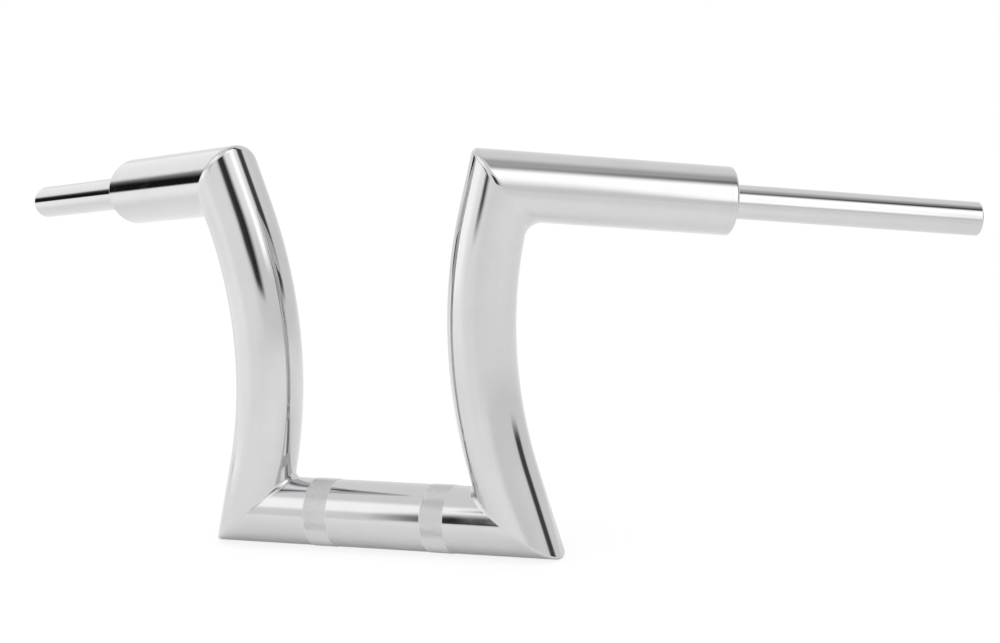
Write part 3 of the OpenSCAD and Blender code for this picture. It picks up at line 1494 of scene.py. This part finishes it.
    def table(self) -> bpy.types.Material:
        """Builds the floor's pale matt paint.

        Returns:
            The material.
        """
        made, n = paint_pot("pale_table")
        place = n.add("TexCoord").outputs["Object"]
        tone = n.ramp(n.noise(place, *self.floor_cloud), *self.floor_span, *self.floor_tones)
        paint = n.add("CombineColor", {0: tone, 1: tone, 2: tone}).outputs[0]
        matt = n.add("BsdfDiffuse", {"Color": paint})
        glow = n.add("Emission", {"Color": WHITE, "Strength": 1.0})
        mirrored = n.add("LightPath").outputs["Is Glossy Ray"]
        share = n.math("ADD", n.math("MULTIPLY", n.seen_straight(), self.floor_seen),
                       n.math("MULTIPLY", mirrored, self.floor_mirrored))
        top = n.add("MixShader", {0: share, 1: matt.outputs[0], 2: glow.outputs[0]})
        clear = n.add("BsdfTransparent")
        away = n.add("VectorMath", {0: place}, operation="LENGTH").outputs["Value"]
        back = n.add("NewGeometry").outputs["Backfacing"]
        near, far = (self.floor_r * part for part in self.floor_fade)
        gone = n.math("MAXIMUM", back, n.ramp(away, near, far))
        both = n.add("MixShader", {0: gone, 1: top.outputs[0], 2: clear.outputs[0]})
        n.add("OutputMaterial", {"Surface": both.outputs[0]})
        return made

    def floor(self) -> None:
        """Builds the round table top, which keeps the bar's shadow and fades out at its rim."""
        turns = [2 * pi * k / self.floor_sides for k in range(self.floor_sides)]
        verts = [(self.floor_r * cos(a), self.floor_r * sin(a), self.floor_z) for a in turns]
        mesh = bpy.data.meshes.new("floor")
        mesh.from_pydata(verts, [], [list(range(self.floor_sides))])
        mesh.materials.append(self.table())
        obj = link("floor", mesh)
        obj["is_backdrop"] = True

    def lamp(self) -> None:
        """Adds the broad overhead lamp that lights the floor and draws the soft shadow."""
        data = bpy.data.lights.new("overhead", "AREA")
        data.shape = "SQUARE"
        data.size = self.lamp_size
        data.energy = self.lamp_power
        obj = link("overhead", data)
        obj.location = self.lamp_place
        obj.visible_glossy = False
        obj.visible_camera = False

    def build(self) -> None:
        """Builds the whole studio."""
        self.world()
        self.floor()
        for card in self.cards:
            card.build()
        self.lamp()


@dataclass
class PhotoCamera:
    """Camera at the photograph's place.

    Attributes:
        yaw: degrees to the right of straight ahead.
        pitch: degrees above the horizon.
        roll: degrees that the picture is turned.
        distance: from the aimed point, in metres.
        aim_height: height of the aimed point.
        leftward: how far the camera is then moved to the left in its picture plane.
        upward: how far it is then moved up in its picture plane.
        focal_px: focal length in pixels of the picture.
        width_px: width of the picture.
        sensor: width of the sensor, in millimetres.
        clip: nearest and farthest distance that is shown.
    """

    yaw: float = 24.16
    pitch: float = 12.53
    roll: float = 3.72
    distance: float = 2.6
    aim_height: float = 0.15
    leftward: float = -0.095
    upward: float = -0.00068
    focal_px: float = 3507.75
    width_px: float = 1000.0
    sensor: float = 36.0
    clip: tuple = (0.05, 50.0)

    def build(self) -> None:
        """Builds the camera and makes it the scene's."""
        roll = radians(self.roll)
        back = compass(self.yaw, self.pitch)
        level = unit(np.cross(-back, UP))
        plumb = np.cross(-back, level)
        right = cos(roll) * level + sin(roll) * plumb
        down = -sin(roll) * level + cos(roll) * plumb
        aim = UP * self.aim_height
        place = aim + back * self.distance - right * self.leftward - down * self.upward
        data = bpy.data.cameras.new("photo_camera")
        data.sensor_fit = "HORIZONTAL"
        data.sensor_width = self.sensor
        data.lens = self.focal_px * self.sensor / self.width_px
        data.clip_start, data.clip_end = self.clip
        obj = link("photo_camera", data)
        turn = Matrix((right, -down, back)).transposed().to_4x4()
        obj.matrix_world = Matrix.Translation(Vector(place)) @ turn
        bpy.context.scene.camera = obj


def corners() -> list:
    """Lowest and highest corner of what is shown, as plain lists."""
    return [[float(x) for x in corner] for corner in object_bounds()]


def main() -> None:
    """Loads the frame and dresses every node."""
    logging.basicConfig(level=logging.INFO, format="%(name)s: %(message)s")
    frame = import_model()
    log.info("frame: %d nodes to dress", len(frame["nodes"]))
    bpy.context.scene.view_settings.view_transform = "Standard"
    sizes = BarSizes()
    finishes = Finishes.make()
    plan: list[Piece] = [Crossbar(sizes, finishes)]
    for side in Side:
        plan += [kind(sizes, finishes, side) for kind in (Upright, Arm, EndPlug, GripTube)]
        plan += [CornerWeld(sizes, finishes, side, corner) for corner in Corner]
    for planned in plan:
        piece = planned.build()
        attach(piece, "root")
        log.info("%s: %d faces", piece.name, len(piece.data.polygons))
    Studio().build()
    PhotoCamera().build()


if __name__ == "__main__":
    main()
